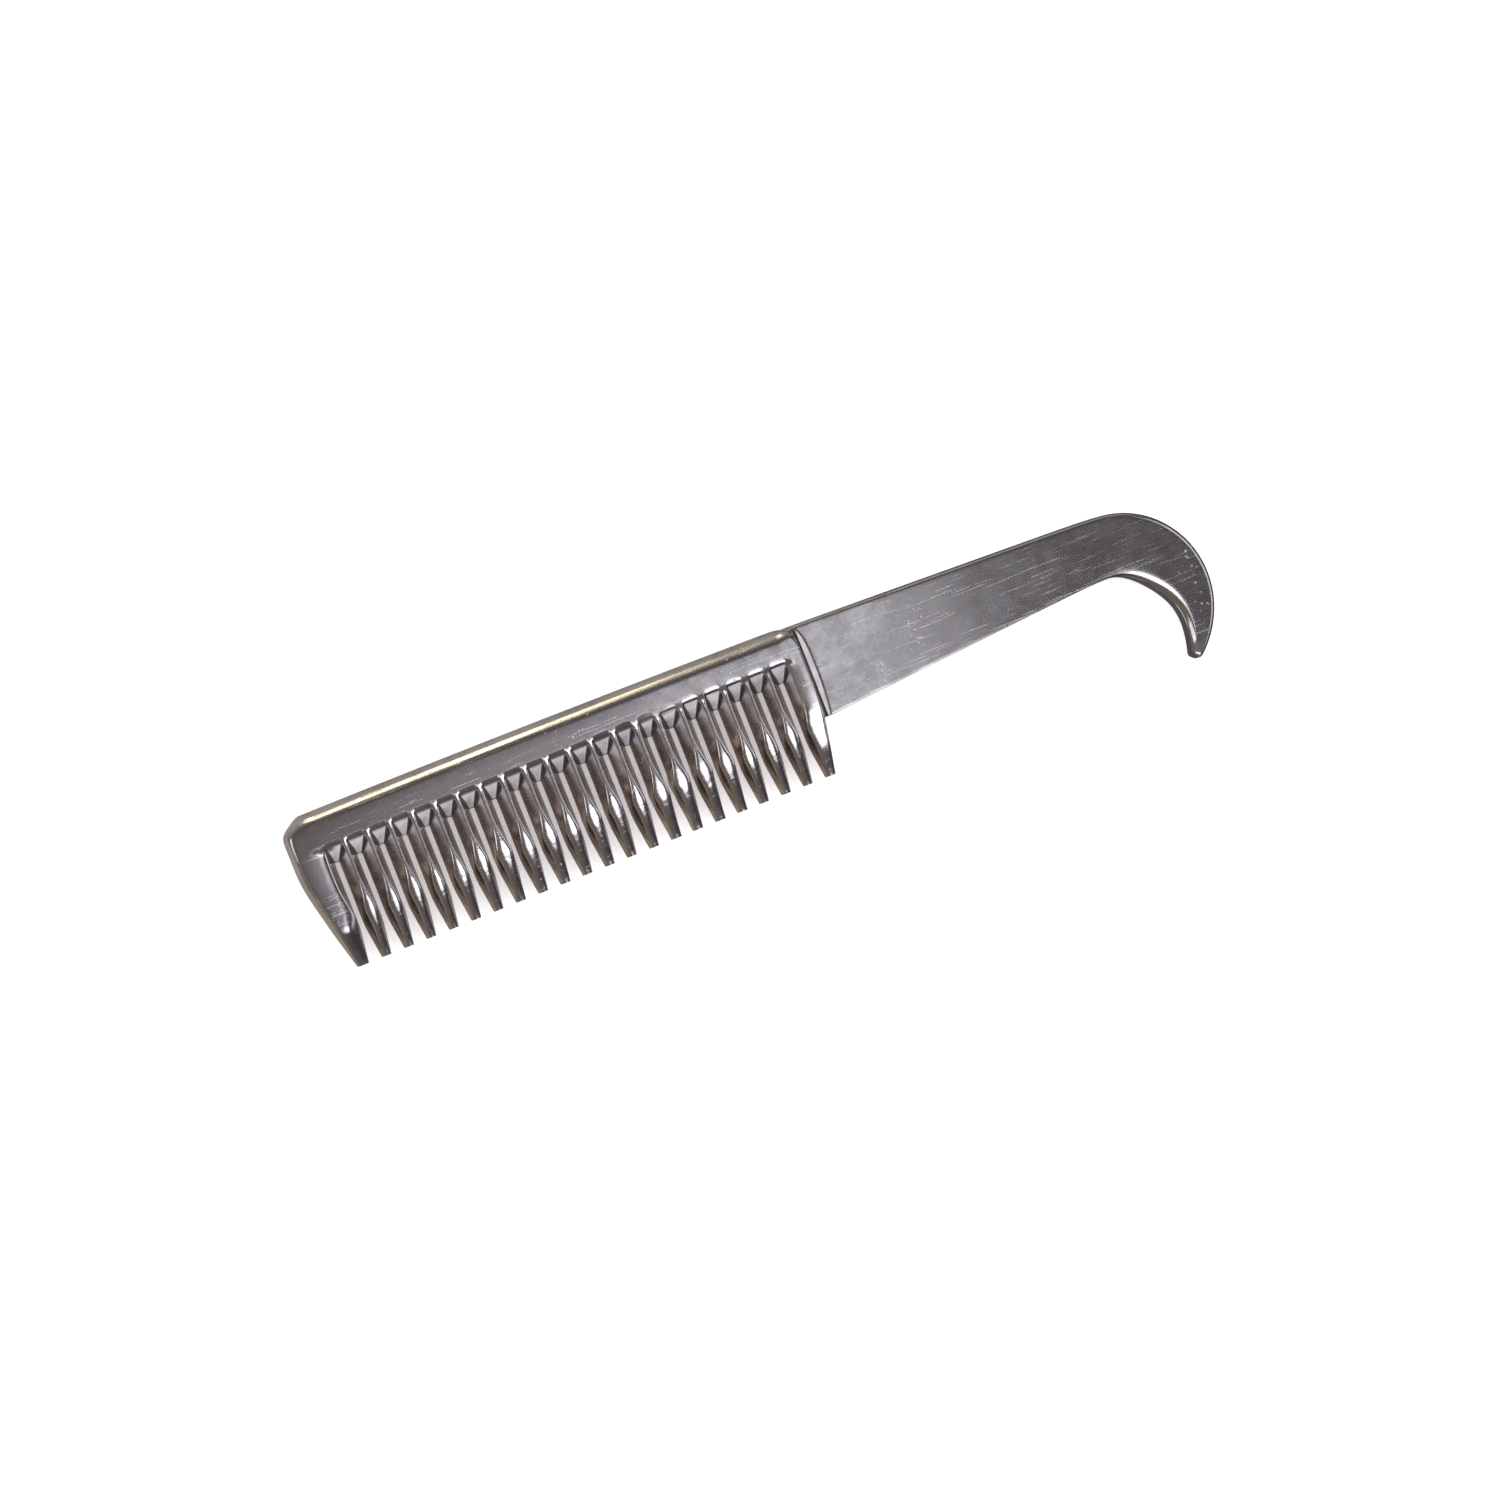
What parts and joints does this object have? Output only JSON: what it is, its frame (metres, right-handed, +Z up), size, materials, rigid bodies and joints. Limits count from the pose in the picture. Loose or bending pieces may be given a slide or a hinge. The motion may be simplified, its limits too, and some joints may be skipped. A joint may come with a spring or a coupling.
{
  "type": "mane pulling comb with hoof pick",
  "caption": "Cast aluminium mane and tail comb with drafted, blunt teeth under a straight back bar and a flat tapering handle that ends in a hoof pick hook.",
  "frame": {"origin": "under the middle of the comb's outline, on the flat surface that its back face lies on", "axes": "+X along the comb towards the hoof pick, +Y from the teeth towards the back bar, +Z up out of the front face"},
  "size_m": [0.2338, 0.0452, 0.008],
  "materials": {
    "polished_aluminium": "polished casting with fine scratches and small pores"
  },
  "bodies": {
    "root": {"back_bar": "polished_aluminium", "far_end_tooth": "polished_aluminium", "tooth_01": "polished_aluminium", "tooth_02": "polished_aluminium", "tooth_03": "polished_aluminium", "tooth_04": "polished_aluminium", "tooth_05": "polished_aluminium", "tooth_06": "polished_aluminium", "tooth_07": "polished_aluminium", "tooth_08": "polished_aluminium", "tooth_09": "polished_aluminium", "tooth_10": "polished_aluminium", "tooth_11": "polished_aluminium", "tooth_12": "polished_aluminium", "tooth_13": "polished_aluminium", "tooth_14": "polished_aluminium", "tooth_15": "polished_aluminium", "tooth_16": "polished_aluminium", "tooth_17": "polished_aluminium", "tooth_18": "polished_aluminium", "tooth_19": "polished_aluminium", "tooth_20": "polished_aluminium", "near_end_tooth": "polished_aluminium", "handle_bar": "polished_aluminium", "hoof_pick_hook": "polished_aluminium"}
  },
  "joints": []
}
